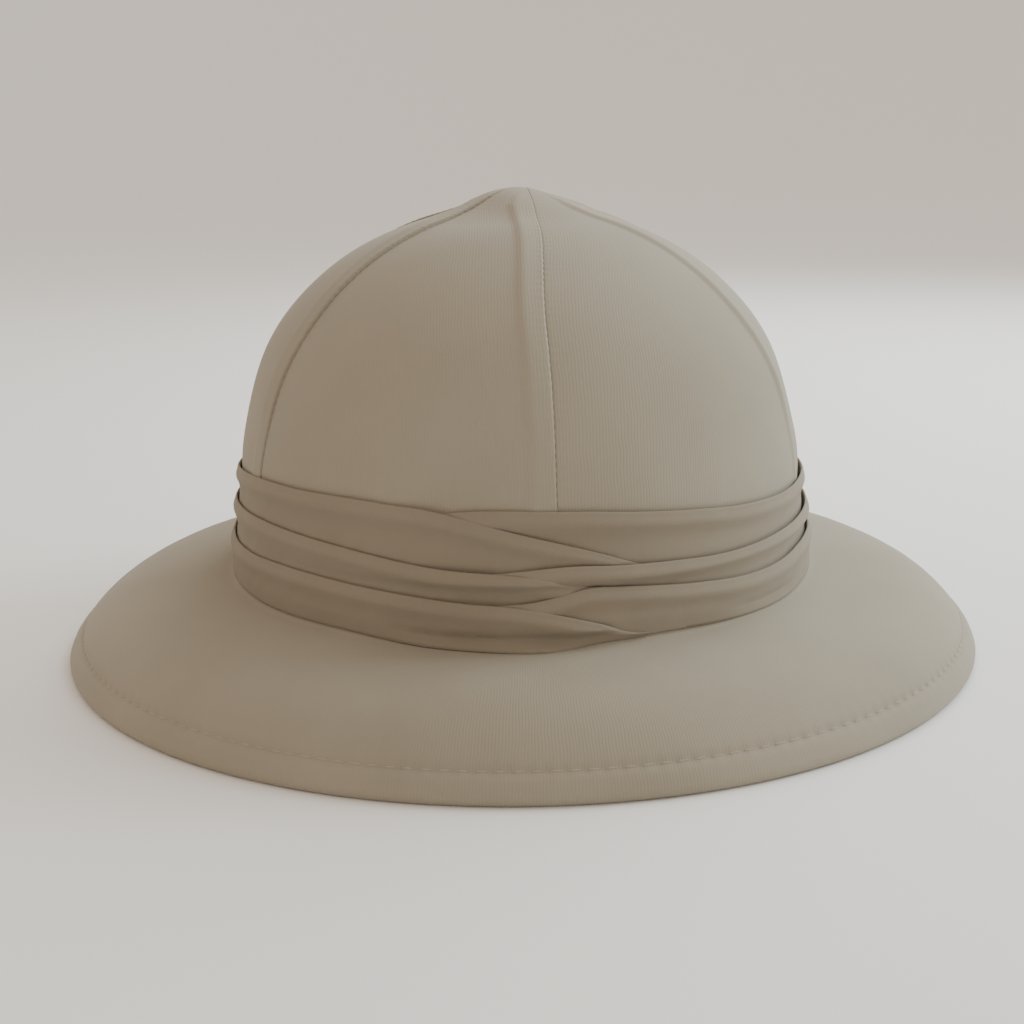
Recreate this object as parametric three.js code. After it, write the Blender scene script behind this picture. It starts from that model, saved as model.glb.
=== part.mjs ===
// A pith helmet: a stiff moulded shell under six sewn cloth panels, with a covered brim and a pleated band.
// Millimetres, +Z up. The front faces -Y. The origin is the middle of the plane that the rim rests on.
// Places round the hat are angles in degrees from the front, turning towards +X.
import * as THREE from 'three';

// The moulded shell and the cloth over it
const shellThickness = 2.6;
const clothThickness = 1;
const clothGap = 0.3;

// The crown, measured over its cloth. The dome springs from the shoulder, and the wall runs down to the foot.
const crownWidth = 186.6;
const crownLength = 210.8;
const shoulderHeight = 87;
const domeHeight = 65;
const domeSpread = 2.12;
const domeSwell = 1.69;
const footWidth = 204.4;
const footLength = 228.6;
const footHeight = 28.5;
const footFillet = 6;

// The low knob that the panels run up to
const knobHeight = 6.8;
const knobRadius = 32;

// The brim, measured over its cloth. It leaves the foot at an even slope and droops more and more to the rim.
const brimWidth = 321.8;
const brimLength = 333.8;
const brimSlope = 0.2;
const brimDroop = 5;
const hemWidth = 8;
const coverTurnUp = 8;

// The sewn panels. Each has its seam allowance pressed flat under its right-hand edge.
const seamGap = 0.4;
const seamWidth = 8.2;
const seamEdge = 1.2;
const seamRise = 0.8;
const seamMostShare = 0.4;
const panelTipRadius = 2;

// The panels in turn from the front seam, each spanning so many ribs. The two at the front are the widest.
const panels = [
  { name: 'front_right', ribs: 9 },
  { name: 'right', ribs: 7 },
  { name: 'back_right', ribs: 8 },
  { name: 'back_left', ribs: 8 },
  { name: 'left', ribs: 7 },
  { name: 'front_left', ribs: 9 },
];

// The pleated band
const bandLift = 1.6;
const bandHeight = 41;
const bandClearance = 0.5;
const pleatThickness = 1;
const pleatFold = 1.2;
const pleatPuff = 0.2;
const pleatMargin = 1;
const pleatRelax = 1.8;
const leanFrom = 0.9;
const leanTo = 0.76;

// How finely the forms are cut. Ribs run down the hat, and the pleats have twice as many where they cross.
const ribStep = 7.5;
const crossingStep = ribStep / 2;
const crossingReach = 22.5;

// Distances out from the middle of the shell's wall
const shellFace = shellThickness / 2;
const clothBack = shellFace + clothGap;
const clothFace = clothBack + clothThickness;
const bandBack = clothFace + seamRise + bandClearance;
const pleatPitch = pleatThickness + pleatPuff + clothGap;

// Shares of the dome's half width, of the fillet and of the brim down to the hem, where the forms have a ring
const domeShares = [0, 0.12, 0.24, 0.36, 0.5, 0.64, 0.77, 0.88, 0.96, 1];
const domeSharesInside = [0, 0.3, 0.56, 0.76, 0.91, 1];
const filletShares = [0, 0.5, 1];
const brimShares = [0.35, 0.65, 0.86, 1];
const brimSharesInside = [0.4, 0.77, 1];

// The pleats, from the innermost out. Each starts tucked under its own left-hand run, goes round by the right
// side and the back, and ends lapped over its right-hand run. From cross on, its fold runs straight down to
// its end. The rest are shares of bandHeight: its lower edge, then its fold at each place.
const pleats = [
  {
    name: 'band_pleat_top', start: -22.5, cross: 341.25, end: 375, foot: 0.45,
    startTop: 0.9, frontTop: 0.94, rightTop: 0.73, backTop: 0.8, leftTop: 0.92, crossTop: 1, endTop: 0.5,
  },
  {
    name: 'band_pleat_middle', start: -18.75, cross: 348.75, end: 367.5, foot: 0.1,
    startTop: 0.5, frontTop: 0.56, rightTop: 0.5, backTop: 0.54, leftTop: 0.64, crossTop: 0.57, endTop: 0.36,
  },
  {
    name: 'band_pleat_bottom', start: -15, cross: 352.5, end: 375, foot: 0,
    startTop: 0.31, frontTop: 0.38, rightTop: 0.2, backTop: 0.28, leftTop: 0.36, crossTop: 0.35, endTop: 0.05,
  },
];

const lerp = THREE.MathUtils.lerp;

// A ring of the hat, as the half width, half length and height of the middle of the shell's wall
const ring = (halfWidth, halfLength, height) => ({ halfWidth, halfLength, height });

const blend = (low, high, share) => ring(
  lerp(low.halfWidth, high.halfWidth, share),
  lerp(low.halfLength, high.halfLength, share),
  lerp(low.height, high.height, share),
);

const shoulder = ring(crownWidth / 2 - clothFace, crownLength / 2 - clothFace, shoulderHeight);
const foot = ring(footWidth / 2 - clothFace, footLength / 2 - clothFace, footHeight - clothFace);

// The rim's rounded edge turns round its last ring. Two of its corners lie level, and the hat rests on them.
const edgeTurns = [0, -72, -108];
const edgeDrop = Math.sin(THREE.MathUtils.degToRad(-edgeTurns[1]));
const rim = ring(brimWidth / 2 - clothFace, brimLength / 2 - clothFace, clothFace * edgeDrop);

function domeRing(share, knob) {
  const rise = (1 - share ** domeSpread) ** (1 / domeSwell);
  const bump = (1 + Math.cos(Math.PI * Math.min(1, share * shoulder.halfWidth / knobRadius))) / 2;
  const height = shoulder.height + (domeHeight - clothFace) * rise + knob * bump;
  return ring(shoulder.halfWidth * share, shoulder.halfLength * share, height);
}

function wallRing(height) {
  return blend(shoulder, foot, (shoulder.height - height) / (shoulder.height - foot.height));
}

function brimRing(share) {
  const fall = brimSlope * share + (1 - brimSlope) * share ** brimDroop;
  const flat = blend(foot, rim, share);
  return ring(flat.halfWidth, flat.halfLength, lerp(foot.height, rim.height, fall));
}

// The hollow curve between the wall and the brim
function filletRing(share) {
  const above = wallRing(foot.height + footFillet);
  const beyond = brimRing(footFillet / (rim.halfWidth - foot.halfWidth));
  return blend(blend(above, foot, share), blend(foot, beyond, share), share);
}

// The share of the brim at which the hem ends, found by stepping in from the rim along its slope
function hemShare() {
  const step = 0.002;
  let share = 1;
  let length = 0;
  while (length < hemWidth) {
    const outer = brimRing(share);
    const inner = brimRing(share - step);
    length += Math.hypot(outer.halfWidth - inner.halfWidth, outer.height - inner.height);
    share -= step;
  }
  return share;
}

const hemStart = hemShare();

function pointOn(place, angle) {
  const turn = THREE.MathUtils.degToRad(angle);
  const across = place.halfWidth * Math.sin(turn);
  return new THREE.Vector3(across, -place.halfLength * Math.cos(turn), place.height);
}

// The level direction straight out from a ring
function outward(place, angle) {
  const turn = THREE.MathUtils.degToRad(angle);
  const across = place.halfLength * Math.sin(turn);
  return new THREE.Vector3(across, -place.halfWidth * Math.cos(turn), 0).normalize();
}

// Square to a profile at one of its rings
function squareTo(profile, index, angle) {
  if (profile[index].halfWidth === 0) return new THREE.Vector3(0, 0, 1);
  const before = pointOn(profile[Math.max(index - 1, 0)], angle);
  const after = pointOn(profile[Math.min(index + 1, profile.length - 1)], angle);
  const side = new THREE.Vector3().crossVectors(new THREE.Vector3(0, 0, 1), outward(profile[index], angle));
  return after.sub(before).cross(side).normalize();
}

function layer(profile, index, angle, distance) {
  return pointOn(profile[index], angle).addScaledVector(squareTo(profile, index, angle), distance);
}

function edgePoints(angle, radius) {
  return edgeTurns.map((degrees) => {
    const turn = THREE.MathUtils.degToRad(degrees);
    return pointOn(rim, angle)
      .addScaledVector(outward(rim, angle), radius * Math.cos(turn))
      .add(new THREE.Vector3(0, 0, radius * Math.sin(turn)));
  });
}

// The profiles, each from the top down. The ring past the rim only sets the slope there.
const pastRim = brimRing(1.02);
const coverTop = footHeight + coverTurnUp;
const filletRings = filletShares.map(filletRing);
const brimRings = brimShares.map((share) => brimRing(share * hemStart)).concat(rim);
const wallRings = [wallRing(coverTop + seamGap), wallRing(coverTop)];
const domeRings = domeShares.map((share) => domeRing(share, knobHeight));
const outerProfile = [...domeRings, ...wallRings, ...filletRings, ...brimRings, pastRim];
const innerProfile = [
  ...domeSharesInside.map((share) => domeRing(share, 0)),
  filletRings[0],
  filletRings[filletRings.length - 1],
  ...brimSharesInside.map((share) => brimRing(share * hemStart)),
  rim,
  pastRim,
];
const rimIndex = outerProfile.length - 2;
const hemIndex = rimIndex - 1;
const coverIndex = domeShares.length + 1;
const panelEndIndex = domeShares.length;

// Evenly stepped angles, both ends included
function ribs(from, to, step = ribStep) {
  const count = Math.round((to - from) / step);
  return Array.from({ length: count + 1 }, (_, index) => from + index * step);
}

function solidMesh(name, corners, material) {
  const places = new Map();
  const positions = [];
  const indexOf = (point) => {
    const key = point.toArray().map((value) => Math.round(value * 1e4)).join();
    if (!places.has(key)) {
      places.set(key, positions.length / 3);
      positions.push(...point.toArray());
    }
    return places.get(key);
  };
  const faces = corners.map((face) => face.map(indexOf)).filter(([a, b, c]) => a !== b && b !== c && c !== a);
  const geometry = new THREE.BufferGeometry();
  geometry.setAttribute('position', new THREE.Float32BufferAttribute(positions, 3));
  geometry.setIndex(faces.flat());
  geometry.computeVertexNormals();
  const mesh = new THREE.Mesh(geometry, material);
  mesh.name = name;
  return mesh;
}

function signedVolume(corners) {
  return corners.reduce((sum, [a, b, c]) => sum + a.dot(new THREE.Vector3().crossVectors(b, c)) / 6, 0);
}

// A body swept through sections, each a closed loop that runs up one face and back along the other.
// An open sweep is capped by joining the two faces across its first and last section.
function sweep(name, sections, closed, material) {
  const corners = [];
  const quad = (a, b, c, d) => corners.push([a, b, c], [a, c, d]);
  const size = sections[0].length;
  const last = closed ? sections.length : sections.length - 1;
  for (let index = 0; index < last; index += 1) {
    const here = sections[index];
    const next = sections[(index + 1) % sections.length];
    here.forEach((point, place) => {
      const beside = (place + 1) % size;
      quad(point, here[beside], next[beside], next[place]);
    });
  }
  if (!closed) {
    const first = sections[0];
    const final = sections[sections.length - 1];
    for (let place = 0; place + 1 < size - 1 - place; place += 1) {
      const across = size - 1 - place;
      quad(first[across], first[across - 1], first[place + 1], first[place]);
      quad(final[place], final[place + 1], final[across - 1], final[across]);
    }
  }
  const outwards = signedVolume(corners) > 0 ? corners : corners.map(([a, b, c]) => [a, c, b]);
  return solidMesh(name, outwards, material);
}

const cloth = (color) => new THREE.MeshStandardMaterial({ color, roughness: 0.9, metalness: 0 });
const coverCloth = cloth(0x9c917e);
const bandCloth = cloth(0x8d8370);
const shellBoard = new THREE.MeshStandardMaterial({ color: 0xb9aa8c, roughness: 0.8, metalness: 0 });

function makeShell() {
  const sections = ribs(0, 360 - ribStep).map((angle) => {
    const outside = outerProfile.slice(0, -1).map((_, index) => layer(outerProfile, index, angle, shellFace));
    const inside = innerProfile.slice(0, -1).map((_, index) => layer(innerProfile, index, angle, -shellFace));
    return [...outside, ...edgePoints(angle, shellFace), ...inside.reverse()];
  });
  return sweep('shell', sections, true, shellBoard);
}

// Angles across a panel at one ring. The first ones follow the shell's ribs, drawn together where the seam
// allowance takes more of the panel, and the last three are the allowance's edge, its crest and the seam.
function panelAngles(place, span) {
  const degreesPerMillimetre = 180 / (Math.PI * place.halfWidth);
  const gap = seamGap / 2 * degreesPerMillimetre;
  const allowance = Math.min(seamWidth * degreesPerMillimetre, seamMostShare * span);
  const bevel = allowance * seamEdge / seamWidth;
  const lastRib = span - ribStep;
  const squeeze = Math.min(1, (span - allowance - ribStep / 4) / lastRib);
  const across = ribs(0, lastRib).map((angle) => Math.max(angle * squeeze, gap));
  return [...across, span - allowance, span - allowance + bevel, span - gap];
}

function makePanel(name, start, span) {
  const tip = domeRing(panelTipRadius / shoulder.halfWidth, knobHeight);
  const profile = [tip, ...outerProfile.slice(1, panelEndIndex + 1)];
  const sections = profile.map((place, index) => {
    const angles = panelAngles(place, span).map((angle) => start + angle);
    const crest = angles.length - 2;
    const back = angles.map((angle) => layer(profile, index, angle, clothBack));
    const face = angles.map((angle, column) => {
      const rise = column < crest ? 0 : seamRise;
      return layer(profile, index, angle, clothFace + rise);
    });
    return [...face, ...back.reverse()];
  });
  return sweep(name, sections, false, coverCloth);
}

// The brim's cloth turns up the wall under the band, covers the brim, wraps the rim and is hemmed below
function makeBrimCover() {
  const over = outerProfile.map((_, index) => index).slice(coverIndex, rimIndex + 1);
  const under = [rimIndex, hemIndex];
  const sections = ribs(0, 360 - ribStep).map((angle) => {
    const wrap = (distance) => [
      ...over.map((index) => layer(outerProfile, index, angle, distance)),
      ...edgePoints(angle, distance),
      ...under.map((index) => layer(outerProfile, index, angle, -distance)),
    ];
    return [...wrap(clothFace), ...wrap(clothBack).reverse()];
  });
  return sweep('brim_cover', sections, true, coverCloth);
}

// The height of a pleat's folded edge, as a share of bandHeight
function pleatTop(pleat, angle) {
  const keys = [
    [pleat.start, pleat.startTop],
    [pleat.start + ribStep, pleat.frontTop],
    [crossingReach, pleat.frontTop],
    [90, pleat.rightTop],
    [180, pleat.backTop],
    [270, pleat.leftTop],
    [pleat.cross, pleat.crossTop],
    [pleat.end, pleat.endTop],
  ];
  const next = Math.max(1, keys.findIndex(([at]) => angle <= at));
  const [from, low] = keys[next - 1];
  const [to, high] = keys[next];
  const straight = (angle - from) / (to - from);
  const share = next === keys.length - 1 ? straight : THREE.MathUtils.smoothstep(straight, 0, 1);
  return lerp(low, high, share);
}

const bandFoot = footHeight + bandLift;
const pleatFoot = (pleat) => bandFoot + pleat.foot * bandHeight;

// A pleat starts and ends on a rib of the crossing
const snap = (angle) => Math.round(angle / crossingStep) * crossingStep;

function isWithin(pleat, angle) {
  const slack = crossingStep / 100;
  return angle > snap(pleat.start) - slack && angle < snap(pleat.end) + slack;
}

// How many runs of cloth lie under a pleat at a place, fading out below each run's lower edge
function runsUnder(order, angle, height) {
  const counts = pleats.slice(0, order + 1).map((pleat, index) => {
    const edge = pleatFoot(pleat) - pleatMargin * Math.max(1, order - index);
    const cover = THREE.MathUtils.clamp((height - edge + pleatRelax) / pleatRelax, 0, 1);
    const turns = index === order ? [-360] : [-360, 0, 360];
    return cover * turns.filter((turn) => isWithin(pleat, angle + turn)).length;
  });
  return counts.reduce((sum, count) => sum + count, 0);
}

function pleatAngles(pleat) {
  const all = ribs(snap(pleat.start), snap(pleat.end), crossingStep);
  const isRib = (angle) => Math.round(angle / crossingStep) % 2 === 0;
  return all.filter((angle) => isRib(angle) || angle < crossingReach || angle > 360 - crossingReach);
}

// Heights up a pleat from its lower edge to the turn of its fold. A pleat that lies over another leans in
// below the other's lower edge, or at set shares of its own height where it is low.
function pleatHeights(order, low, turn) {
  if (order === 0) return [low, lerp(low, turn, 0.5), turn];
  const edge = pleatFoot(pleats[order - 1]) - pleatMargin;
  return [
    low,
    Math.min(edge - pleatRelax, lerp(low, turn, leanTo)),
    Math.min(edge, lerp(low, turn, leanFrom)),
    turn,
  ];
}

function makePleat(pleat, order) {
  const low = pleatFoot(pleat);
  const sections = pleatAngles(pleat).map((angle) => {
    const top = bandFoot + bandHeight * pleatTop(pleat, angle);
    const heights = pleatHeights(order, low, top - Math.min(pleatFold, (top - low) / 2));
    const at = (height, distance) => {
      const place = wallRing(height);
      const stand = bandBack + runsUnder(order, angle, height) * pleatPitch + distance;
      return pointOn(place, angle).addScaledVector(outward(place, angle), stand);
    };
    const puff = (index) => (index === 0 || index === heights.length - 1 ? 0 : pleatPuff);
    const face = heights.map((height, index) => at(height, pleatThickness + puff(index)));
    const back = heights.map((height) => at(height, 0));
    return [...face, at(top, pleatThickness / 2), ...back.reverse()];
  });
  return sweep(pleat.name, sections, false, bandCloth);
}

const helmet = new THREE.Group();
helmet.add(makeShell());
panels.forEach((panel, index) => {
  const before = panels.slice(0, index).reduce((sum, other) => sum + other.ribs, 0);
  helmet.add(makePanel(`crown_gore_${panel.name}`, before * ribStep, panel.ribs * ribStep));
});
helmet.add(makeBrimCover());
pleats.forEach((pleat, order) => helmet.add(makePleat(pleat, order)));

export default helmet;
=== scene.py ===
import math

import bpy
import numpy as np
from mathutils import Matrix, Vector


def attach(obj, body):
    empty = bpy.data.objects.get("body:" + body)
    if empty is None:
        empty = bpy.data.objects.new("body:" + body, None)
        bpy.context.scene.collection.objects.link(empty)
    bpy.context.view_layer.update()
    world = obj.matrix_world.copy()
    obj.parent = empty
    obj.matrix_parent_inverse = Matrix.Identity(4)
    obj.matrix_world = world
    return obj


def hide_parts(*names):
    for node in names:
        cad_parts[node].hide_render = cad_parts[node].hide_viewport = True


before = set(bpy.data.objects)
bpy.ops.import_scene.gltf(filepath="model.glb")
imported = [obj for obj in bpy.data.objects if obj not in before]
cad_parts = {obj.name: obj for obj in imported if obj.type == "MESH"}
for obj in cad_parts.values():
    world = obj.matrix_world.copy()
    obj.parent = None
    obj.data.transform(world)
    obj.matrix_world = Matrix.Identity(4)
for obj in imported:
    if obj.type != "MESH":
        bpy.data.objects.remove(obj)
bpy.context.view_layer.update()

# A khaki pith helmet: a pressed fibre shell under sewn cotton, with a pleated band round the crown.
# Metres, +Z up, front towards -Y. A turn is an angle round the hat, from the front towards +X.
mm = 0.001
full = 2 * math.pi

layers = {
    "board": 2.6 * mm,
    "gap": 0.3 * mm,
    "cloth": 1.0 * mm,
}
clothBack = layers["board"] / 2 + layers["gap"]
clothFace = clothBack + layers["cloth"]

crown = {
    "halfWidth": 93.3 * mm,
    "halfLength": 105.4 * mm,
    "shoulderHeight": 87 * mm,
    "domeHeight": 65 * mm,
    "domeSpread": 2.12,
    "domeSwell": 1.69,
    "footHalfWidth": 102.2 * mm,
    "footHalfLength": 114.3 * mm,
    "footHeight": 28.5 * mm,
    "footFillet": 6 * mm,
    "knobHeight": 6.8 * mm,
    "knobRadius": 32 * mm,
    "swell": 2.1 * mm,
    "swellHeight": 72 * mm,
    "swellReach": 15 * mm,
    "shoulderSoft": 6 * mm,
    "shoulderReach": 16 * mm,
}

brim = {
    "halfWidth": 160.9 * mm,
    "halfLength": 166.9 * mm,
    "slope": 0.2,
    "droop": 5,
    "turnUp": 8 * mm,
    "hem": 8 * mm,
    "stitchInset": 6.6 * mm,
    "grooveDepth": 0.6 * mm,
    "grooveWidth": 1.4 * mm,
    "pinch": 0.1 * mm,
    "pinchReach": 3.2 * mm,
    "roll": 0.3 * mm,
    "rollReach": 2.5 * mm,
    "restAngle": 72,
    "unevenness": 0.2 * mm,
    "stitches": 192,
    "turns": 768,
    "footZone": 7 * mm,
    "footRows": 12,
    "openRows": 14,
    "rimZone": 12 * mm,
}
outlineRows = {"dome": 240, "side": 80, "fillet": 24, "brim": 200}


def deselectAll():
    if bpy.context.object and bpy.context.object.mode != "OBJECT":
        bpy.ops.object.mode_set(mode="OBJECT")
    bpy.ops.object.select_all(action="DESELECT")


def selectOnly(obj):
    deselectAll()
    obj.select_set(True)
    bpy.context.view_layer.objects.active = obj


def smoothstep(low, high, value):
    t = np.clip((value - low) / (high - low), 0, 1)
    return t * t * (3 - 2 * t)


def waves(place, lengths, seed):  # slow unevenness, from -1 to 1
    phases = np.random.default_rng(seed).uniform(0, full, len(lengths))
    parts = [np.sin(full * place / length + phase) for length, phase in zip(lengths, phases)]
    return sum(parts) / len(lengths)


# The hat's outline down the middle of the board, from the knob to the rim, as rings of half width,
# half length and height, close together
def hatProfile():
    a, b = crown["halfWidth"] - clothFace, crown["halfLength"] - clothFace
    share = np.sin(np.linspace(0, math.pi / 2, outlineRows["dome"]))
    rise = np.maximum(1 - share ** crown["domeSpread"], 0) ** (1 / crown["domeSwell"])
    knob = (1 + np.cos(np.pi * np.minimum(1, share * a / crown["knobRadius"]))) / 2
    height = crown["shoulderHeight"] + (crown["domeHeight"] - clothFace) * rise + crown["knobHeight"] * knob
    dome = np.stack([a * share, b * share, height])
    foot = np.array([crown["footHalfWidth"] - clothFace, crown["footHalfLength"] - clothFace,
                     crown["footHeight"] - clothFace])
    rim = np.array([brim["halfWidth"] - clothFace, brim["halfLength"] - clothFace,
                    clothFace * math.sin(math.radians(brim["restAngle"]))])
    shoulder = dome[:, -1]
    side = shoulder[:, None] + (foot - shoulder)[:, None] * np.linspace(0, 1, outlineRows["side"])[None, 1:]
    t = np.linspace(0, 1, outlineRows["brim"])
    out = foot[:, None] + (rim - foot)[:, None] * t[None, :]
    out[2] = foot[2] + (rim[2] - foot[2]) * (brim["slope"] * t + (1 - brim["slope"]) * t ** brim["droop"])
    above = foot + (shoulder - foot) * crown["footFillet"] / (shoulder[2] - foot[2])
    reach = crown["footFillet"] / (rim[0] - foot[0])
    beyond = np.array([np.interp(reach, t, axis) for axis in out])
    f = np.linspace(0, 1, outlineRows["fillet"])[None, :]
    fillet = above[:, None] * (1 - f) ** 2 + 2 * foot[:, None] * f * (1 - f) + beyond[:, None] * f ** 2
    side, out = side[:, side[2] > above[2] + 1e-6], out[:, t > reach + 1e-6]
    rings = np.concatenate([dome, side, fillet, out], axis=1)
    # the wall bellies a little above the band, where the steamed board has given
    rings[:2] += crown["swell"] * np.exp(-((rings[2] - crown["swellHeight"]) / crown["swellReach"]) ** 2)
    way = wayDown(rings)
    # the dome passes softly into the wall: each ring there is a weighted mean of those close by
    shifts = np.linspace(-2, 2, 33)
    weights = np.exp(-shifts ** 2 / 2) / np.exp(-shifts ** 2 / 2).sum()
    near = np.exp(-((way - way[dome.shape[1] - 1]) / crown["shoulderReach"]) ** 4)
    for axis in rings:
        smoothed = np.interp(way[:, None] + shifts * crown["shoulderSoft"], way, axis) @ weights
        axis += (smoothed - axis) * near
    return wayDown(rings), rings


def wayDown(rings):
    steps = np.hypot(np.diff((rings[0] + rings[1]) / 2), np.diff(rings[2]))
    return np.concatenate([[0], np.cumsum(steps)])


down, rings = hatProfile()
domeRings = rings[:, :outlineRows["dome"]]
rimAt = down[-1]
crownRings = rings[2] > crown["footHeight"] - 2 * mm


def ringAt(s):
    return [np.interp(s, down, axis) for axis in rings]


def downTo(height):  # how far down the outline a height on the crown lies
    return np.interp(-height, -rings[2][crownRings], down[crownRings])


def onHat(s, turn, lift):  # a place down the outline, round the hat and out from the middle of the board
    s, turn, lift = np.broadcast_arrays(*[np.asarray(value, float) for value in (s, turn, lift)])
    step = 0.5 * mm
    a, b, z = ringAt(s)
    a0, b0, z0 = ringAt(np.maximum(s - step, 0))
    a1, b1, z1 = ringAt(np.minimum(s + step, rimAt))
    sin, cos = np.sin(turn), np.cos(turn)
    downwards = np.stack([(a1 - a0) * sin, -(b1 - b0) * cos, z1 - z0], -1)
    wide, long = np.maximum(a, 1e-5), np.maximum(b, 1e-5)
    around = np.stack([wide * cos, long * sin, np.zeros_like(cos)], -1)
    normal = np.cross(downwards, around)
    normal /= np.linalg.norm(normal, axis=-1, keepdims=True)
    return np.stack([a * sin, -b * cos, z], -1) + normal * lift[..., None]


# Places are rows by columns of points, and uv the same of distances along the cloth in metres. wayRound is
# the way round a cloth that closes on itself.
def makeGrid(name, places, uv, closedRows=False, closedTurns=False, wayRound=0):
    if closedRows:
        places = np.concatenate([places, places[:1]], 0)
        uv = np.concatenate([uv, uv[:1]], 0)
    if closedTurns:
        places = np.concatenate([places, places[:, :1]], 1)
        uv = np.concatenate([uv, uv[:, :1] + (wayRound, 0)], 1)
    rows, columns = places.shape[:2]
    deselectAll()
    bpy.ops.mesh.primitive_grid_add(x_subdivisions=columns - 1, y_subdivisions=rows - 1, size=2)
    obj = bpy.context.object
    obj.name = obj.data.name = name
    mesh = obj.data
    co = np.zeros(len(mesh.vertices) * 3)
    mesh.vertices.foreach_get("co", co)
    co = co.reshape(-1, 3)
    column = np.rint((co[:, 0] + 1) / 2 * (columns - 1)).astype(int)
    row = np.rint((co[:, 1] + 1) / 2 * (rows - 1)).astype(int)
    corner = np.zeros(len(mesh.loops), int)
    mesh.loops.foreach_get("vertex_index", corner)
    mesh.vertices.foreach_set("co", places[row, column].ravel())
    mesh.uv_layers[0].name = "cloth"
    mesh.uv_layers[0].data.foreach_set("uv", uv[row, column][corner].ravel())
    mesh.update()
    bpy.ops.object.mode_set(mode="EDIT")
    bpy.ops.mesh.select_all(action="SELECT")
    bpy.ops.mesh.remove_doubles(threshold=1e-7)
    bpy.ops.mesh.fill_holes(sides=0)
    bpy.ops.mesh.normals_make_consistent(inside=False)
    bpy.ops.object.mode_set(mode="OBJECT")
    return obj


def finishPiece(obj, material, sharp=50):
    selectOnly(obj)
    bpy.ops.object.shade_smooth_by_angle(angle=math.radians(sharp))
    obj.data.materials.clear()
    obj.data.materials.append(material)
    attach(obj, "root")


# Materials

def linear(hexValue):
    channels = [int(hexValue[i:i + 2], 16) / 255 for i in (1, 3, 5)]
    return [c / 12.92 if c <= 0.04045 else ((c + 0.055) / 1.055) ** 2.4 for c in channels] + [1]


def addNode(tree, kind, settings=(), links=()):
    node = tree.nodes.new(kind)
    for key, value in dict(settings).items():
        if isinstance(key, str) and hasattr(node, key):
            setattr(node, key, value)
        else:
            node.inputs[key].default_value = value
    for key, source in dict(links).items():
        tree.links.new(source, node.inputs[key])
    return node


def addMix(tree, factor, first, second):
    node = tree.nodes.new("ShaderNodeMix")
    node.data_type = "RGBA"
    for index, value in ((0, factor), (6, first), (7, second)):
        if hasattr(value, "is_output"):
            tree.links.new(value, node.inputs[index])
        else:
            node.inputs[index].default_value = value
    return node.outputs[2]


def addMath(tree, operation, *values):
    node = tree.nodes.new("ShaderNodeMath")
    node.operation = operation
    for index, value in enumerate(values):
        if hasattr(value, "is_output"):
            tree.links.new(value, node.inputs[index])
        else:
            node.inputs[index].default_value = value
    return node.outputs[0]


def addNoise(tree, place, scale, detail, distortion=0.0):
    settings = {"Scale": scale, "Detail": detail, "Distortion": distortion}
    return addNode(tree, "ShaderNodeTexNoise", settings, {"Vector": place}).outputs[0]


def newMaterial(name):
    material = bpy.data.materials.new(name)
    material.use_nodes = True
    tree = material.node_tree
    return material, tree, tree.nodes["Principled BSDF"]


def ribs(tree, across, period):  # from 0 in the hollow to 1 on the thread
    turned = addMath(tree, "MULTIPLY", across, full / period)
    return addMath(tree, "MULTIPLY_ADD", addMath(tree, "SINE", turned), 0.5, 0.5)


# Woven cotton: matt, with a fine upright rib from the warp whose hollows carry painted shade that shows
# more in some places than in others, and slow patches of tone from the dyeing. The rib is about as wide as
# it looks in the photo.
def cottonDrill(name, colour, worn, shade, ribEvery, ribDepth, ribHollowShading):
    material, tree, shader = newMaterial(name)
    cloth = addNode(tree, "ShaderNodeUVMap", {"uv_map": "cloth"}).outputs[0]
    place = addNode(tree, "ShaderNodeTexCoord").outputs["Object"]
    drift = addNoise(tree, place, 120.0, 2.0)
    split = addNode(tree, "ShaderNodeSeparateXYZ", (), {0: cloth})
    across = addMath(tree, "MULTIPLY_ADD", drift, finish["warpDrift"], split.outputs[0])
    warp = ribs(tree, across, ribEvery)
    lengthways = addMath(tree, "MULTIPLY_ADD", drift, finish["weftDrift"], split.outputs[1])
    weft = ribs(tree, lengthways, finish["weftEvery"])
    slubs = addNoise(tree, place, 1400.0, 3.0)
    patches = addMath(tree, "SUBTRACT", addNoise(tree, place, 16.0, 3.0), 0.5)
    patches = addMath(tree, "MULTIPLY_ADD", patches, finish["patchContrast"], 0.5)
    tone = addMix(tree, patches, linear(colour), linear(worn))
    shown = addMath(tree, "MULTIPLY_ADD", addNoise(tree, place, 22.0, 2.0), 2.4, -0.6)
    shown = addMath(tree, "MAXIMUM", shown, finish["ribShownLeast"])
    shown = addMath(tree, "MINIMUM", shown, finish["ribShownMost"])
    # painted shade: the rib's hollows are mixed towards the shade colour, more in some places than in
    # others
    ribHollowShade = addMath(tree, "MULTIPLY", addMath(tree, "SUBTRACT", 1.0, warp), ribHollowShading)
    ribHollowShade = addMath(tree, "MULTIPLY", ribHollowShade, shown)
    tone = addMix(tree, ribHollowShade, tone, linear(shade))
    tone = addMix(tree, addMath(tree, "MULTIPLY", slubs, 0.2), tone, linear(worn))
    tree.links.new(tone, shader.inputs["Base Color"])
    relief = addMath(tree, "MULTIPLY", warp, 0.7)
    relief = addMath(tree, "MULTIPLY_ADD", weft, 0.08, relief)
    relief = addMath(tree, "MULTIPLY_ADD", slubs, 0.6, relief)
    bump = addNode(tree, "ShaderNodeBump", {"Strength": 1.0, "Distance": ribDepth}, {"Height": relief})
    tree.links.new(bump.outputs[0], shader.inputs["Normal"])
    shader.inputs["Roughness"].default_value = 0.9
    shader.inputs["Specular IOR Level"].default_value = 0.25
    shader.inputs["Sheen Weight"].default_value = 0.12
    shader.inputs["Sheen Roughness"].default_value = 0.5
    return material


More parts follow.
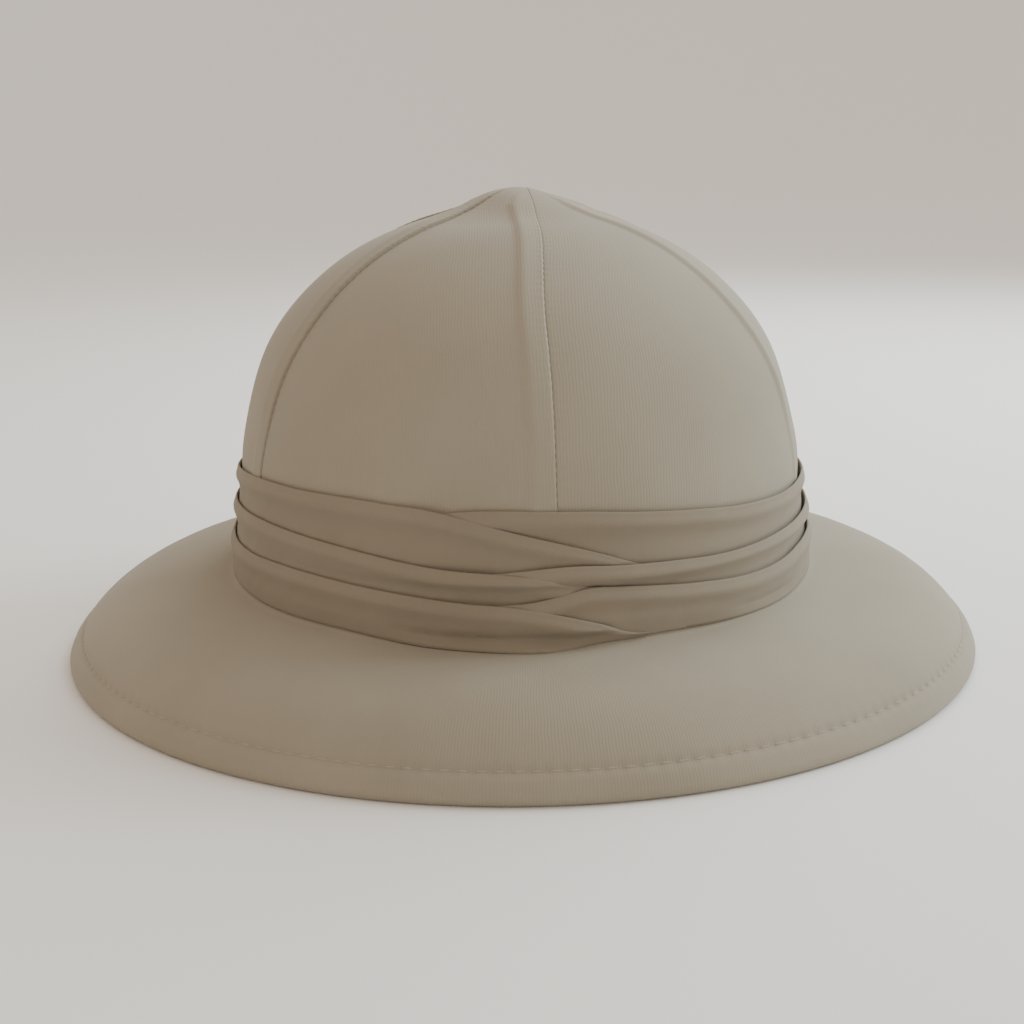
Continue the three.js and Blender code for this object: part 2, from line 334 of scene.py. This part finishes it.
finish = {
    "cover": "#928a7a",
    "coverWorn": "#9c9484",
    # the two shade colours below are painted shade for the hollows between the ribs
    "coverShade": "#6f675a",
    "band": "#827868",
    "bandWorn": "#8b8171",
    "bandShade": "#62594c",
    "thread": "#a2978a",
    "board": "#cdbf9f",
    "boardShade": "#a8987a",
    "floor": "#f2f1ef",
    "ribEvery": 1.0 * mm,
    "ribDepth": 0.04 * mm,
    "ribHollowShading": 0.13,
    "bandRibEvery": 0.8 * mm,
    "bandRibDepth": 0.02 * mm,
    "bandRibHollowShading": 0.05,
    "ribShownLeast": 0.15,
    "ribShownMost": 1.2,
    "weftEvery": 0.8 * mm,
    "warpDrift": 1.5 * mm,
    "weftDrift": 0.7 * mm,
    "patchContrast": 2.2,
    "fibreRelief": 0.12 * mm,
}

coverCloth = cottonDrill("cotton drill, woven, stretched over board", finish["cover"], finish["coverWorn"],
                         finish["coverShade"], finish["ribEvery"], finish["ribDepth"], finish["ribHollowShading"])
bandCloth = cottonDrill("cotton cloth, folded in pleats", finish["band"], finish["bandWorn"],
                        finish["bandShade"], finish["bandRibEvery"], finish["bandRibDepth"],
                        finish["bandRibHollowShading"])

# Spun cotton: a little shinier than the cloth and lighter
threadCotton, tree, shader = newMaterial("cotton thread, spun")
shader.inputs["Base Color"].default_value = linear(finish["thread"])
shader.inputs["Roughness"].default_value = 0.8

# Fibre board pressed over a form: pale tan, dull, with fibres lying all ways
pressedBoard, tree, shader = newMaterial("fibre board, pressed over a form")
place = addNode(tree, "ShaderNodeTexCoord").outputs["Object"]
fibres = addNoise(tree, place, 260.0, 5.0, 1.5)
blotch = addNoise(tree, place, 24.0, 3.0)
tone = addMix(tree, fibres, linear(finish["board"]), linear(finish["boardShade"]))
tone = addMix(tree, addMath(tree, "MULTIPLY", blotch, 0.5), tone, linear(finish["board"]))
tree.links.new(tone, shader.inputs["Base Color"])
relief = {"Strength": 1.0, "Distance": finish["fibreRelief"]}
bump = addNode(tree, "ShaderNodeBump", relief, {"Height": fibres})
tree.links.new(bump.outputs[0], shader.inputs["Normal"])
shader.inputs["Roughness"].default_value = 0.75
shader.inputs["Specular IOR Level"].default_value = 0.35
print("materials")


# The six panels of the crown. Each is cut as a tapered gore, and its seam allowance is pressed flat under
# its right-hand edge, where it stands up as a strip beside the seam. The seams meet a little beside the
# knob's top. A pair of lengths is the way down the outline in which a form comes or goes.
gores = {
    "names": ["front_right", "right", "back_right", "back_left", "left", "front_left"],
    "seamsAtFoot": [0, 66.5, 120, 180, 240, 294, 360],
    "seamsAtTop": [0, 61.5, 120, 180, 240, 298.5, 360],
    "seamsBend": (85 * mm, 145 * mm),
    "meetAside": 4 * mm,
    "meetWay": (36 * mm, 92 * mm),
    "gap": 0.16 * mm,
    "stripWidth": 8.2 * mm,
    "stripRise": 0.8 * mm,
    "stripTilt": 0.9 * mm,
    "stripSoft": 2.6 * mm,
    "ridge": 0.7 * mm,
    "ridgeReach": 14 * mm,
    "stripMostShare": 0.4,
    "knobFlat": (5 * mm, 24 * mm),
    "pressedShare": 0.55,
    "pressedHeights": (98 * mm, 72 * mm),
    "edgeUp": 0.35 * mm,
    "edgeUpReach": 0.7 * mm,
    "edgeUpComes": (26 * mm, 40 * mm),
    "edgeUpGoes": (70 * mm, 95 * mm),
    "curl": 0.5 * mm,
    "curlReach": 0.7 * mm,
    "curlUnder": 0.3,
    "puckerEvery": 2.8 * mm,
    "pucker": 0.09 * mm,
    "puckerReach": 2.2 * mm,
    "puckerComes": (8 * mm, 22 * mm),
    "knobNarrow": 1.3 * mm,
    "knobNarrowAt": 22 * mm,
    "knobNarrowReach": 10 * mm,
    "unevenness": 0.12 * mm,
    "meanRadius": 0.1,
    "tipRadius": 0.7 * mm,
    "footGap": 0.7 * mm,
    "hiddenBelow": 60 * mm,
    "rowEvery": 0.75 * mm,
    "hiddenRows": 16,
    "columnsBetween": 20,
    "sweepSteps": 81,
    "stretch": 1.02,
}
# Columns across a gore: distances from each seam, closest where the cloth curls into it
fromHigh = np.array([0, 0.25, 0.5, 0.8, 1.2, 1.8, 2.6, 3.6, 4.8, 6.0, 6.6, 7.0, 7.4, 7.8, 8.2, 8.7,
                     9.4, 10.4, 12]) * mm
fromLow = np.array([9, 6.5, 4.5, 3, 2, 1.3, 0.8, 0.4, 0]) * mm


def seamTurn(index, s):
    top, foot = gores["seamsAtTop"][index], gores["seamsAtFoot"][index]
    return np.radians(top + (foot - top) * smoothstep(*gores["seamsBend"], s))


def onCrown(s, turn, lift):  # on the hat, with the cloth's middle a little to the right of the knob's
    s, turn, lift = np.broadcast_arrays(*[np.asarray(value, float) for value in (s, turn, lift)])
    aside = gores["meetAside"] * (1 - smoothstep(*gores["meetWay"], s))
    a, b, _ = ringAt(s)
    wide, long = domeRings[0][-1], domeRings[1][-1]
    x, y = (a * np.sin(turn) + aside) / wide, -b * np.cos(turn) / long
    moved = aside > 0
    movedS = np.interp(np.hypot(x, y), domeRings[0] / wide, down[:domeRings.shape[1]])
    return onHat(np.where(moved, movedS, s), np.where(moved, np.arctan2(x, -y), turn), lift)


# Rows down the panel by columns across it: turns, distances from its two seams, and its width there
def gorePlaces(index, s):
    turns, highs, lows, widths = [], [], [], []
    for here in s:
        sweep = np.linspace(seamTurn(index, here), seamTurn(index + 1, here), gores["sweepSteps"])
        a, b, _ = ringAt(here)
        speed = np.hypot(a * np.cos(sweep), b * np.sin(sweep))
        along = np.concatenate([[0], np.cumsum((speed[1:] + speed[:-1]) / 2 * np.diff(sweep))])
        width = along[-1] - 2 * gores["gap"] / 2
        scale = min(1, gores["stripMostShare"] * width / gores["stripWidth"])
        high, low = fromHigh * scale, fromLow * scale
        middle = np.linspace(width - high[-1], low[0], gores["columnsBetween"])[1:-1]
        places = np.concatenate([width - high, middle, low])
        turns.append(np.interp(places + gores["gap"] / 2, along, sweep))
        highs.append(width - places)
        lows.append(places)
        widths.append(np.full_like(places, width))
    return [np.array(value) for value in (turns, highs, lows, widths)]


def goreLift(s, turn, high, low, width, seed):
    strip = np.minimum(gores["stripWidth"], gores["stripMostShare"] * width)
    soft = gores["stripSoft"] * strip / gores["stripWidth"]
    tip = smoothstep(*gores["knobFlat"], s)  # at the knob the seams are pressed flat
    # and so they are, in part, towards the band
    pressed = 1 - gores["pressedShare"] * smoothstep(*[downTo(z) for z in gores["pressedHeights"]], s)
    # the strip slopes down to its seam
    rise = gores["stripRise"] + gores["stripTilt"] * (high / strip - 0.5)
    lift = clothFace + rise * tip * pressed * (1 - smoothstep(strip - soft, strip + 0.3 * soft, high))
    # the cloth falls away beyond the strip, so that the strip's far edge is a ridge
    beyond = np.clip(high - strip, 0, None)
    ridge = np.where(high > strip, np.exp(-beyond / gores["ridgeReach"]), 1)
    lift = lift + gores["ridge"] * tip * pressed * ridge
    # in the upper half the seam's edge stands up a little and catches the light
    stands = smoothstep(*gores["edgeUpComes"], s) * (1 - smoothstep(*gores["edgeUpGoes"], s))
    lift = lift + gores["edgeUp"] * stands * np.exp(-high / gores["edgeUpReach"])
    reach = gores["curlReach"] * strip / gores["stripWidth"]
    for edge, deep in ((high, 1.0), (low, gores["curlUnder"])):
        near = np.clip(1 - edge / reach, 0, 1)
        lift = lift - deep * gores["curl"] * (0.25 + 0.75 * tip) * (1 - np.sqrt(1 - near ** 2 * 0.999))
    # the puckers at the stitches are uneven in spacing and strength
    phase = full * s / gores["puckerEvery"] + 0.8 * np.sin(full * s / (31 * mm) + seed)
    fade = smoothstep(*gores["puckerComes"], s)
    strength = 0.7 + 0.3 * np.sin(full * s / (17 * mm) + 2 * seed)
    for edge in (high, low):
        nearEdge = np.exp(-edge / gores["puckerReach"])
        lift = lift + gores["pucker"] * fade * strength * nearEdge * np.sin(phase)
    # the knob is narrower on its left
    side = np.clip(-np.sin(turn), 0, 1) ** 0.7
    nearNeck = np.exp(-((s - gores["knobNarrowAt"]) / gores["knobNarrowReach"]) ** 2)
    lift = lift - gores["knobNarrow"] * nearNeck * side
    away = 1 - np.exp(-np.minimum(high, low) / (12 * mm))
    slow = waves(s + 0.3 * turn * gores["meanRadius"], [61 * mm, 37 * mm], seed)
    return lift + gores["unevenness"] * away * slow


goreTop = np.interp(gores["tipRadius"], domeRings[0], down[:outlineRows["dome"]])
goreEnd = downTo(crown["footHeight"] - clothFace + brim["turnUp"] + gores["footGap"])
hiddenAt = downTo(gores["hiddenBelow"])  # from here on the band hides the panels
goreRows = np.concatenate([np.arange(goreTop, hiddenAt, gores["rowEvery"]),
                           np.linspace(hiddenAt, goreEnd, gores["hiddenRows"])])
for index, name in enumerate(gores["names"]):
    turns, highs, lows, widths = gorePlaces(index, goreRows)
    s = np.repeat(goreRows[:, None], turns.shape[1], 1)
    face = onCrown(s, turns, goreLift(s, turns, highs, lows, widths, index + 1))
    flat = slice(None, None, -5)  # the side on the board is plain, so it has fewer columns
    back = onCrown(s[:, flat], turns[:, flat], clothBack)
    # the two front panels are cut with their grain along the front seam, the others with it down the middle
    grain = {"front_right": lows, "front_left": -highs}.get(name, (lows - highs) / 2)
    uv = np.stack([grain, s], -1)
    gore = makeGrid("gore_" + name, np.concatenate([face, back], 1), np.concatenate([uv, uv[:, flat]], 1),
                    closedTurns=True)
    steps = np.diff(goreRows)
    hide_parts("crown_gore_" + name)
    finishPiece(gore, coverCloth)


# The cloth over the brim goes up the wall under the band, out over the board, round the rim and under to a
# hem. This is the part round the rim, from the upper to the under side, flat where the hat rests on it.
def rimRoll(turns, lift, steps):
    base = onHat(rimAt, turns, 0.0)
    normal = onHat(rimAt, turns, 1.0) - base
    out = base - onHat(rimAt - 0.4 * mm, turns, 0.0)
    out /= np.linalg.norm(out, axis=-1, keepdims=True)
    angles = np.linspace(0, math.pi, steps)[:, None, None]
    roll = base[None] + lift * (np.cos(angles) * normal[None] + np.sin(angles) * out[None])
    roll[..., 2] = np.maximum(roll[..., 2], 0 if lift > clothBack + 0.1 * mm else layers["cloth"] * 0.9)
    return roll


def brimRelief(s, turn):  # the stitched groove beside the rim, drawn in at each stitch
    inset = rimAt - s
    beat = 0.5 + 0.5 * np.cos(turn * brim["stitches"])
    groove = np.exp(-((inset - brim["stitchInset"]) / brim["grooveWidth"]) ** 2)
    rolled = smoothstep(brim["stitchInset"], brim["stitchInset"] - brim["rollReach"], inset)
    rolled = rolled * smoothstep(0, 2 * mm, inset)
    spread = np.exp(-np.abs(inset - brim["stitchInset"]) / brim["pinchReach"])
    relief = -brim["grooveDepth"] * groove * (0.65 + 0.35 * beat)
    relief = relief - brim["pinch"] * spread * beat + brim["roll"] * rolled
    inwards = smoothstep(12 * mm, 30 * mm, inset)
    return relief + brim["unevenness"] * inwards * waves(turn, [full / 5, full / 9], 3)


# they start at the back, where the ends of the cloth's grain meet
brimTurns = np.arange(brim["turns"]) * full / brim["turns"] + math.pi
coverTop = downTo(crown["footHeight"] - clothFace + brim["turnUp"])
footEnd = downTo(crown["footHeight"] - 0.5 * mm) + brim["footZone"]
# rows close together round the stitched groove, as distances in from the rim
grooveRows = np.array([10.5, 9.4, 8.6, 8.0, 7.5, 7.0, 6.6, 6.2, 5.7, 5.1, 4.4, 3.4, 2.2, 1.0]) * mm
outRows = np.concatenate([
    np.linspace(coverTop, footEnd, brim["footRows"]),
    np.linspace(footEnd, rimAt - brim["rimZone"], brim["openRows"])[1:],
    rimAt - grooveRows,
])
overs = onHat(outRows[:, None], brimTurns[None], clothFace + brimRelief(outRows[:, None], brimTurns[None]))
hemRows = rimAt - np.array([1.5, 3.5, 5.5, 6.6, 7.5, brim["hem"] / mm]) * mm
unders = onHat(hemRows[:, None], brimTurns[None], -clothFace)
unders[..., 2] = np.maximum(unders[..., 2], 0)
backHem = onHat(hemRows[::-1][::2, None], brimTurns[None], -clothBack)
insideRows = np.concatenate([rimAt - np.array([2, 8]) * mm,
                             np.linspace(rimAt - 16 * mm, coverTop, brim["openRows"])])
insides = onHat(insideRows[:, None], brimTurns[None], clothBack)
section = np.concatenate([overs, rimRoll(brimTurns, clothFace, 9), unders, backHem,
                          rimRoll(brimTurns, clothBack, 5)[::-1], insides], 0)
middle = section[:, ::24]
lengths = np.linalg.norm(np.diff(middle, axis=0), axis=-1).mean(1)
along = np.concatenate([[0], np.cumsum(lengths)])
# the grain runs on where its ends meet, because the way round is a whole number of ribs
ribsRound = round(math.pi * (brim["halfWidth"] + brim["halfLength"]) / finish["ribEvery"])
arc = brimTurns * ribsRound * finish["ribEvery"] / full
brimCover = makeGrid("brim_cloth", section, np.stack(np.broadcast_arrays(arc[None, :], along[:, None]), -1),
                     closedRows=True, closedTurns=True, wayRound=ribsRound * finish["ribEvery"])
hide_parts("brim_cover")
finishPiece(brimCover, coverCloth)


# The stiff shell, one moulding, plain inside
moulding = {
    "turns": 240,
    "rows": 120,
    "firstRow": 0.4 * mm,
}
shellTurns = np.arange(moulding["turns"]) * full / moulding["turns"]
shellRows = np.linspace(moulding["firstRow"], rimAt, moulding["rows"])
half = layers["board"] / 2
outside = onHat(shellRows[:, None], shellTurns[None], half)
inside = onHat(shellRows[::-1][:, None], shellTurns[None], -half)
edge = rimRoll(shellTurns, half, 7)[1:-1]
shellSection = np.concatenate([outside, edge, inside], 0)
shell = makeGrid("moulded_shell", shellSection, np.zeros(shellSection.shape[:2] + (2,)), closedTurns=True)
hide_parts("shell")
finishPiece(shell, pressedBoard)
print("shell")


# The pleated band. Each pleat starts tucked under its own left-hand run at the front, goes round by the
# right and the back, and laps over itself down to its tip. A pair is degrees from a pleat's start or end.
band = {
    "foot": crown["footHeight"] + 1.6 * mm,
    "height": 41 * mm,
    "stand": clothFace + 0.55 * mm,
    "cloth": 0.75 * mm,
    "pitch": 0.95 * mm,
    "margin": 1.0 * mm,
    "relax": 2.2 * mm,
    "foldRadius": 1.1 * mm,
    "puff": 0.9 * mm,
    "puffBelow": 2.5 * mm,
    "puffReach": 2.2 * mm,
    "sag": 0.35 * mm,
    "sagAt": 7.5 * mm,
    "sagReach": 3.4 * mm,
    "slimBelow": 11 * mm,
    "crease": 0.13 * mm,
    "creaseLean": 1.3,
    "edgeWander": 0.12 * mm,
    "leastWidth": 1.4 * mm,
    "thinnest": 0.35,
    "startThin": 5,
    "endThin": 7,
    "startRamp": (-7, 3),
    "endRamp": (-6, 5),
    "lean": 0.5 * mm,
    "footDrop": 0.35 * mm,
    "footDropReach": 5 * mm,
    "footPlain": 4 * mm,
    "straightRows": 6,
    "meanRadius": 0.106,
    "turnStep": 0.75,
    "fineUpTo": 26,
    "fineFrom": 334,
}
# Each pleat's foot as a share of the band's height, and its folded edge as turns in degrees and heights in
# millimetres
pleats = [
    {"name": "top", "foot": 0.45, "edge": [
        (-22.5, 67), (-17, 68.7), (-10, 69.3), (-1, 68.9), (7, 68.3), (16, 67.1), (27, 65.3), (37, 63.7),
        (52, 62.4), (70, 62.6), (90, 62), (130, 61.5), (180, 62), (230, 63), (264, 64.5), (280, 66.8),
        (295, 68.6), (310, 69.6), (322, 69.9), (330, 69.5), (337, 69), (343.5, 67.1), (350, 64.4),
        (358.5, 60.5), (367, 56.1), (373, 52.3), (375, 51)]},
    {"name": "middle", "foot": 0.1, "edge": [
        (-18.75, 49.6), (-10, 50.9), (-6, 51.7), (2, 52.6), (10, 52), (20, 51.1), (31, 50.1), (42, 50),
        (55, 50.8), (70, 51.2), (90, 50.8), (180, 51), (240, 52.6), (264, 53.6), (285, 55.2), (300, 55.8),
        (315, 55.4), (325, 54.2), (335, 52.3), (341, 51.5), (351.5, 50.5), (356.8, 49.1), (362, 46.9),
        (365, 45.8), (367.5, 45)]},
    {"name": "bottom", "foot": 0, "edge": [
        (-15, 39.5), (-9, 41.2), (-5.5, 41.7), (-1, 43.2), (2, 44.5), (5, 45.6), (10.5, 45.2), (17, 44.3),
        (26, 42.7), (36, 41.2), (49, 41), (60, 42.3), (75, 42.3), (90, 41), (180, 41), (240, 42),
        (270, 42.2), (282, 42), (292, 42.6), (305, 43.7), (316, 43.9), (325, 43.3), (335, 42.5),
        (346, 41.4), (351.5, 40.8), (356.5, 39.4), (362, 37), (367.3, 34.2), (372.8, 30.2), (375, 29)]},
]
# How far the lowest pleat reaches down past the foot, over the fillet and out on the brim, likewise
footReach = [(-15, 0), (12, 2), (18, 1.5), (22, 1.7), (27, 2.5), (36, 4), (47, 4.8), (60, 3.6), (90, 2.5),
             (180, 2.2), (270, 3), (302, 3.8), (315, 3), (322, 3), (330, 4.6), (337, 6.6), (345, 8),
             (352, 9.2), (357, 9.5), (361, 7.8), (365, 4.8), (369, 3.2), (375, 2.6)]
for pleat in pleats:
    pleat["start"], pleat["end"] = pleat["edge"][0][0], pleat["edge"][-1][0]


def smoothLine(points, angle):  # a smooth line through points of turn and length
    at, height = np.array(points, float).T
    slope = np.diff(height) / np.diff(at)
    bend = np.concatenate([slope[:1], (slope[1:] + slope[:-1]) / 2, slope[-1:]])
    k = np.clip(np.searchsorted(at, angle, side="right") - 1, 0, len(at) - 2)
    span = at[k + 1] - at[k]
    f = (angle - at[k]) / span
    line = ((2 * f ** 3 - 3 * f ** 2 + 1) * height[k] + (f ** 3 - 2 * f ** 2 + f) * span * bend[k]
            + (3 * f ** 2 - 2 * f ** 3) * height[k + 1] + (f ** 3 - f ** 2) * span * bend[k + 1])
    return line * mm


def pleatFoot(pleat):
    return band["foot"] + pleat["foot"] * band["height"]


def runsUnder(order, angle, height):  # layers of cloth under a pleat here, as a smooth count
    count = 0
    for index, other in enumerate(pleats[:order + 1]):
        edge = pleatFoot(other) - band["margin"] * max(1, order - index)
        cover = smoothstep(edge - band["relax"], edge, height)
        for turn in ([-360] if index == order else [-360, 0, 360]):
            here = angle + turn
            within = smoothstep(*band["startRamp"], here - other["start"])
            within = within * (1 - smoothstep(*band["endRamp"], here - other["end"]))
            count = count + cover * within
    return count


def pleatAngles(pleat):
    angles = np.arange(pleat["start"], pleat["end"] + 1e-6, band["turnStep"])
    fine = (angles < band["fineUpTo"]) | (angles > band["fineFrom"])
    between = angles[fine][:-1] + band["turnStep"] / 2
    return np.unique(np.concatenate([angles, between, [pleat["end"]]]).clip(max=pleat["end"]))


# Rows up a pleat's face as shares of its height, closest under the fold
faceShares = np.concatenate([np.linspace(0, 0.8, 12), [0.84, 0.88, 0.91, 0.935, 0.955, 0.972, 0.986, 1.0]])
for order, pleat in enumerate(pleats):
    angles = pleatAngles(pleat)
    turn = np.radians(angles)
    low = pleatFoot(pleat)
    wander = waves(turn, [full / 7, full / 11, full / 17], order)
    top = smoothLine(pleat["edge"], angles) + band["edgeWander"] * wander
    reach = smoothLine(footReach, angles) if pleat["name"] == "bottom" else 0 * angles
    sLow = downTo(low) + reach
    top = np.maximum(top, low + (band["leastWidth"] - reach).clip(min=-0.5 * mm))
    radius = np.minimum(band["foldRadius"], (sLow - downTo(top)) / 3)
    turnAt = top - radius
    sTop = downTo(turnAt)
    s = sLow + (sTop - sLow) * faceShares[:, None]
    heights = np.interp(s, down, rings[2])
    below = s - sTop  # the distance below the fold
    # the fold is a soft roll, the cloth sags in under it and fills out again towards the next pleat
    slim = np.minimum(1, (sLow - sTop) / band["slimBelow"])[None]
    nearFold = np.exp(-((below / slim - band["puffBelow"]) / band["puffReach"]) ** 2)
    hollow = np.exp(-((below / slim - band["sagAt"]) / band["sagReach"]) ** 2)
    creasePlace = turn[None] * band["meanRadius"] + below * band["creaseLean"]
    crease = waves(creasePlace, [23 * mm, 14 * mm, 9 * mm], 20 + order)
    away = smoothstep(0, band["footPlain"], sLow - s)
    face = band["cloth"] + band["puff"] * nearFold * slim
    face = face + (band["crease"] * crease * (1 - nearFold) - band["sag"] * hollow * slim) * away
    # the ends thin out, so that the runs over them lie smoothly
    thinning = smoothstep(pleat["start"], pleat["start"] + band["startThin"], angles)
    thinning = thinning * (1 - smoothstep(pleat["end"] - band["endThin"], pleat["end"], angles))
    thinned = face * (band["thinnest"] + (1 - band["thinnest"]) * thinning[None])
    face = np.minimum(thinned, 1.9 * radius[None] + 0.1 * mm)
    # on the right the folds stand out from the crown a little
    leaning = band["lean"] * (0.5 + 0.5 * np.sin(turn))[None] * ((sLow - s) / (sLow - sTop)) ** 1.6
    stand = band["stand"] + runsUnder(order, angles[None], heights) * band["pitch"] + leaning
    stand = stand - band["footDrop"] * (1 - smoothstep(0, band["footDropReach"], sLow - s))
    faces = onHat(s, turn[None], stand + face)
    backs = onHat(s, turn[None], stand)
    if pleat["name"] == "bottom":  # it runs straight from the wall to its foot on the brim
        k = band["straightRows"]
        part = np.linspace(0, 1, k + 1)[:, None, None]
        for side in (faces, backs):
            side[:k + 1] = side[0] * (1 - part) + side[k] * part
    backs = backs[::-1]
    # round the fold, from the face over the top to the back
    sweepAngles = np.linspace(0, math.pi, 9)[1:-1, None]
    faceTop, standTop = face[-1][None], stand[-1][None]
    rollOut = standTop + faceTop / 2 + faceTop / 2 * np.cos(sweepAngles)
    rollUp = turnAt[None] + radius[None] * np.sin(sweepAngles)
    folds = onHat(downTo(rollUp), turn[None], rollOut)
    section = np.concatenate([faces, folds, backs], 0)
    steps = np.linalg.norm(np.diff(section, axis=0), axis=-1).mean(1)
    along = np.concatenate([[0], np.cumsum(steps)])
    arc = turn * band["meanRadius"]
    piece = makeGrid("pleat_" + pleat["name"], section,
                     np.stack(np.broadcast_arrays(arc[None, :], along[:, None]), -1), closedRows=True)
    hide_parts("band_pleat_" + pleat["name"])
    finishPiece(piece, bandCloth, 60)


# Stitches: short lengths of thread, joined into one piece for each row
def threadBit(length, radius):
    deselectAll()
    bpy.ops.mesh.primitive_uv_sphere_add(segments=6, ring_count=5, radius=radius)
    bit = bpy.context.object
    co = np.zeros(len(bit.data.vertices) * 3)
    bit.data.vertices.foreach_get("co", co)
    co = co.reshape(-1, 3)
    co[:, 2] *= length / 2 / radius
    faces = [list(p.vertices) for p in bit.data.polygons]
    bpy.data.objects.remove(bit)
    return co, faces


def makeStitches(name, centres, alongs, length, radius):
    co, faces = threadBit(length, radius)
    points, polygons = [], []
    for centre, direction in zip(centres, alongs):
        turned = Vector(direction).to_track_quat("Z", "Y").to_matrix()
        polygons += [[v + len(points) for v in face] for face in faces]
        points += [tuple(turned @ Vector(p) + Vector(centre)) for p in co]
    mesh = bpy.data.meshes.new(name)
    mesh.from_pydata(points, [], polygons)
    obj = bpy.data.objects.new(name, mesh)
    bpy.context.collection.objects.link(obj)
    finishPiece(obj, threadCotton)


stitching = {
    "rimLength": 3.6 * mm,
    "rimRadius": 0.27 * mm,
    "seamLength": 1.5 * mm,
    "seamRadius": 0.16 * mm,
    "seamFrom": 16 * mm,
    "seamDownTo": 52 * mm,
    "sunk": 0.05 * mm,
}
stitchTurns = np.arange(brim["stitches"]) * full / brim["stitches"] + full / brim["stitches"] / 2
stitchAt = rimAt - brim["stitchInset"]
liftHere = clothFace - brim["grooveDepth"] * 0.8
centres = onHat(stitchAt, stitchTurns, liftHere)
alongs = onHat(stitchAt, stitchTurns + 0.01, liftHere) - onHat(stitchAt, stitchTurns - 0.01, liftHere)
makeStitches("rim_stitches", centres, alongs, stitching["rimLength"], stitching["rimRadius"])
centres = onHat(stitchAt, stitchTurns, -clothFace - stitching["sunk"])
makeStitches("hem_stitches", centres, alongs, stitching["rimLength"], stitching["rimRadius"])

seamAt = np.arange(stitching["seamFrom"], downTo(stitching["seamDownTo"]), gores["puckerEvery"])
centres, alongs = [], []
for index in range(len(gores["names"])):
    lift = clothFace - stitching["sunk"]
    here = onCrown(seamAt, seamTurn(index, seamAt), lift)
    ahead = onCrown(seamAt + 1 * mm, seamTurn(index, seamAt + 1 * mm), lift)
    centres += list(here)
    alongs += list(ahead - here)
makeStitches("seam_stitches", centres, alongs, stitching["seamLength"], stitching["seamRadius"])
print("stitches")


# Floor, lights and camera
stage = {
    "key": 10.0,
    "keyColour": (0.86, 0.97, 1.0),
    "keyPlace": (0.98, 0.1, 0.62),
    "keySize": 0.6,
    "top": 7.6,
    "topColour": (0.9, 0.98, 1.0),
    "topPlace": (0.5, 0.75, 0.8),
    "topSize": 0.7,
    "world": 1.05,
    "worldLeft": "#f5d9bc",
    "worldRight": "#eef2f2",
    "aim": (0, 0, 0.08),
    "floorRadius": 3.5,
    "floorCurve": 1.6,
    "floorSweep": 75,
    "floorSteps": 12,
}
# the floor's far edge curves up all round, so that no horizon shows
deselectAll()
bpy.ops.mesh.primitive_circle_add(vertices=128, radius=stage["floorRadius"], fill_type="NGON")
floor = bpy.context.object
floor.name = "floor"
bpy.ops.object.mode_set(mode="EDIT")
bpy.ops.mesh.select_all(action="SELECT")
bpy.ops.mesh.region_to_loop()
radius, height = stage["floorRadius"], 0
for step in range(1, stage["floorSteps"] + 1):
    angle = math.radians(stage["floorSweep"]) * step / stage["floorSteps"]
    nextRadius = stage["floorRadius"] + stage["floorCurve"] * math.sin(angle)
    nextHeight = stage["floorCurve"] * (1 - math.cos(angle))
    bpy.ops.mesh.extrude_edges_move(TRANSFORM_OT_translate={"value": (0, 0, nextHeight - height)})
    bpy.ops.transform.resize(value=(nextRadius / radius, nextRadius / radius, 1), center_override=(0, 0, 0))
    radius, height = nextRadius, nextHeight
bpy.ops.object.mode_set(mode="OBJECT")
bpy.ops.object.shade_smooth_by_angle(angle=math.radians(30))
floorPaint, tree, shader = newMaterial("floor, matt pale paint")
shader.inputs["Base Color"].default_value = linear(finish["floor"])
shader.inputs["Roughness"].default_value = 0.9
floor.data.materials.append(floorPaint)


def addLight(name, place, size, power, colour):
    bpy.ops.object.light_add(type="AREA", location=place)
    light = bpy.context.object
    light.name = name
    light.data.size = size
    light.data.energy = power
    light.data.color = colour
    light.rotation_euler = (Vector(stage["aim"]) - Vector(place)).to_track_quat("-Z", "Y").to_euler()


addLight("key", stage["keyPlace"], stage["keySize"], stage["key"], stage["keyColour"])
addLight("top", stage["topPlace"], stage["topSize"], stage["top"], stage["topColour"])

world = bpy.data.worlds.new("studio")
world.use_nodes = True
tree = world.node_tree
sky = addNode(tree, "ShaderNodeTexCoord").outputs["Generated"]
side = addNode(tree, "ShaderNodeSeparateXYZ", (), {0: sky}).outputs[0]
side = addMath(tree, "MULTIPLY_ADD", side, 0.5, 0.5)
tree.links.new(addMix(tree, side, linear(stage["worldLeft"]), linear(stage["worldRight"])),
               tree.nodes["Background"].inputs[0])
tree.nodes["Background"].inputs[1].default_value = stage["world"]
bpy.context.scene.world = world

# The camera that fits the photo's outline, rim and seams
view = {
    "distance": 0.6,
    "elevation": 13.51,
    "azimuth": -5.64,
    "roll": -0.96,
    "focal": 1653.13,
    "pixels": 1024,
    "sensor": 36,
    "target": (-2.59 * mm, 0, 42.94 * mm),
}
elevation, azimuth, roll = [math.radians(view[key]) for key in ("elevation", "azimuth", "roll")]
back = Vector((math.sin(azimuth) * math.cos(elevation), -math.cos(azimuth) * math.cos(elevation),
               math.sin(elevation)))
right = (-back).cross(Vector((0, 0, 1))).normalized()
up = right.cross(-back)
right, up = right * math.cos(roll) + up * math.sin(roll), up * math.cos(roll) - right * math.sin(roll)
bpy.ops.object.camera_add(location=Vector(view["target"]) + back * view["distance"])
camera = bpy.context.object
camera.rotation_euler = Matrix((right, up, back)).transposed().to_euler()
camera.data.sensor_width = view["sensor"]
camera.data.lens = view["focal"] / view["pixels"] * view["sensor"]
camera.data.clip_start = 0.01
bpy.context.scene.camera = camera
print("stage")
